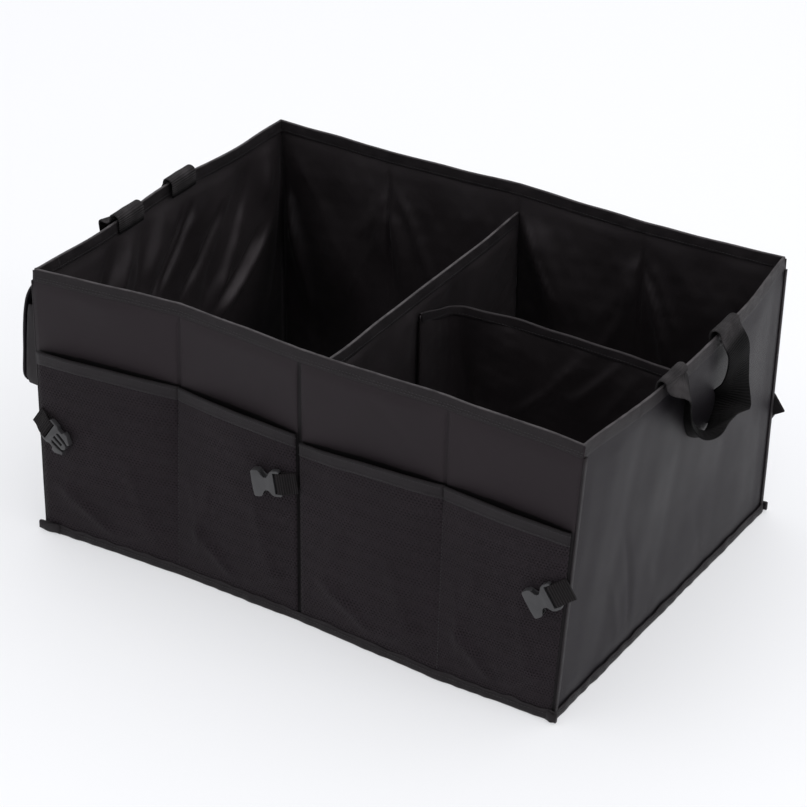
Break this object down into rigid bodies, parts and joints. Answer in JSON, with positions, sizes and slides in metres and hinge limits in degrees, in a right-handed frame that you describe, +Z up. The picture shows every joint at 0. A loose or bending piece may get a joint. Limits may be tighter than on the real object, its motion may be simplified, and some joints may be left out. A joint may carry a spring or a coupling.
{
  "type": "car trunk organizer",
  "caption": "Collapsible fabric box for a car trunk with an upright divider, a cross divider, mesh pockets, a flap pocket, carry handles and side-release buckle halves.",
  "frame": {"origin": "middle of the underside of the base panel, on the floor", "axes": "+X along the long front from the flap pocket's end to the other end, +Y from the mesh-pocket front to the back, +Z up"},
  "size_m": [0.6487, 0.4149, 0.2873],
  "materials": {
    "cloth": "black polyester oxford cloth, satin sheen",
    "lining": "thin wrinkled black lining, slight shine",
    "mesh": "fine black mesh, matte",
    "tape": "black grosgrain binding tape",
    "webbing": "black ribbed webbing",
    "hook_and_loop": "black hook and loop pile",
    "stiffener": "plain board inside the cloth",
    "plastic": "black moulded plastic, satin"
  },
  "bodies": {
    "organizer": {"front_panel": "cloth", "front_board_1": "stiffener", "front_board_2": "stiffener", "front_board_3": "stiffener", "front_board_4": "stiffener", "front_lining": "lining", "back_panel": "cloth", "back_board_1": "stiffener", "back_board_2": "stiffener", "back_board_3": "stiffener", "back_board_4": "stiffener", "back_lining": "lining", "left_end_panel": "cloth", "left_end_board": "stiffener", "left_end_lining": "lining", "right_end_panel": "cloth", "right_end_board": "stiffener", "right_end_lining": "lining", "base_panel": "cloth", "base_board_left": "stiffener", "base_board_right": "stiffener", "rim_binding": "tape", "foot_binding": "tape", "corner_seam_front_left": "tape", "corner_seam_front_right": "tape", "corner_seam_back_left": "tape", "corner_seam_back_right": "tape", "divider_cover": "cloth", "divider_board": "stiffener", "divider_binding": "tape", "cross_divider_cover": "cloth", "cross_divider_board": "stiffener", "cross_divider_binding": "tape", "divider_loop_strip": "hook_and_loop", "cross_hook_strip_left": "hook_and_loop", "cross_hook_strip_right": "hook_and_loop", "end_loop_strip": "hook_and_loop", "mesh_pocket_left": "mesh", "mesh_pocket_right": "mesh", "pocket_hem_left": "tape", "pocket_hem_right": "tape", "flap_pocket": "cloth", "flap_loop_strip": "hook_and_loop", "right_handle": "webbing", "left_handle": "webbing", "webbing_tab_front_left": "webbing", "webbing_tab_front_centre": "webbing", "webbing_tab_front_right": "webbing", "webbing_tab_back_left": "webbing", "webbing_tab_back_centre": "webbing", "webbing_tab_back_right": "webbing"},
    "flap": {"pocket_flap": "cloth", "flap_hook_strip": "hook_and_loop"},
    "front_left_plug": {"buckle_plug_front_left": "plastic"},
    "front_centre_socket": {"buckle_socket_front_centre": "plastic"},
    "front_right_socket": {"buckle_socket_front_right": "plastic"},
    "back_left_plug": {"buckle_plug_back_left": "plastic"},
    "back_centre_socket": {"buckle_socket_back_centre": "plastic"},
    "back_right_socket": {"buckle_socket_back_right": "plastic"}
  },
  "joints": [
    {"name": "flap_hinge", "type": "hinge", "parent": "organizer", "child": "flap", "pos_m": [-0.28322, -0.14496, 0.26502], "axis": [0.0472, 0.9989, 0], "range_deg": [0, 110]},
    {"name": "front_left_plug_swing", "type": "hinge", "parent": "organizer", "child": "front_left_plug", "pos_m": [-0.27116, -0.20526, 0.12076], "axis": [-0.5523, -0.0495, -0.8322], "range_deg": [0, 100]},
    {"name": "front_centre_socket_swing", "type": "hinge", "parent": "organizer", "child": "front_centre_socket", "pos_m": [-0.01633, -0.19982, 0.14546], "axis": [-0.1863, 0.0221, 0.9822], "range_deg": [0, 100]},
    {"name": "front_right_socket_swing", "type": "hinge", "parent": "organizer", "child": "front_right_socket", "pos_m": [0.26201, -0.20346, 0.1333], "axis": [-0.5702, 0.0228, 0.8212], "range_deg": [0, 100]},
    {"name": "back_left_plug_swing", "type": "hinge", "parent": "organizer", "child": "back_left_plug", "pos_m": [-0.2686, 0.19791, 0.1159], "axis": [0.559, -0.0186, 0.829], "range_deg": [0, 100]},
    {"name": "back_centre_socket_swing", "type": "hinge", "parent": "organizer", "child": "back_centre_socket", "pos_m": [-0.01646, 0.19793, 0.14322], "axis": [0.1942, 0.0067, -0.9809], "range_deg": [0, 100]},
    {"name": "back_right_socket_swing", "type": "hinge", "parent": "organizer", "child": "back_right_socket", "pos_m": [0.27079, 0.19948, 0.1153], "axis": [0.5755, 0.0261, -0.8174], "range_deg": [0, 100]}
  ]
}
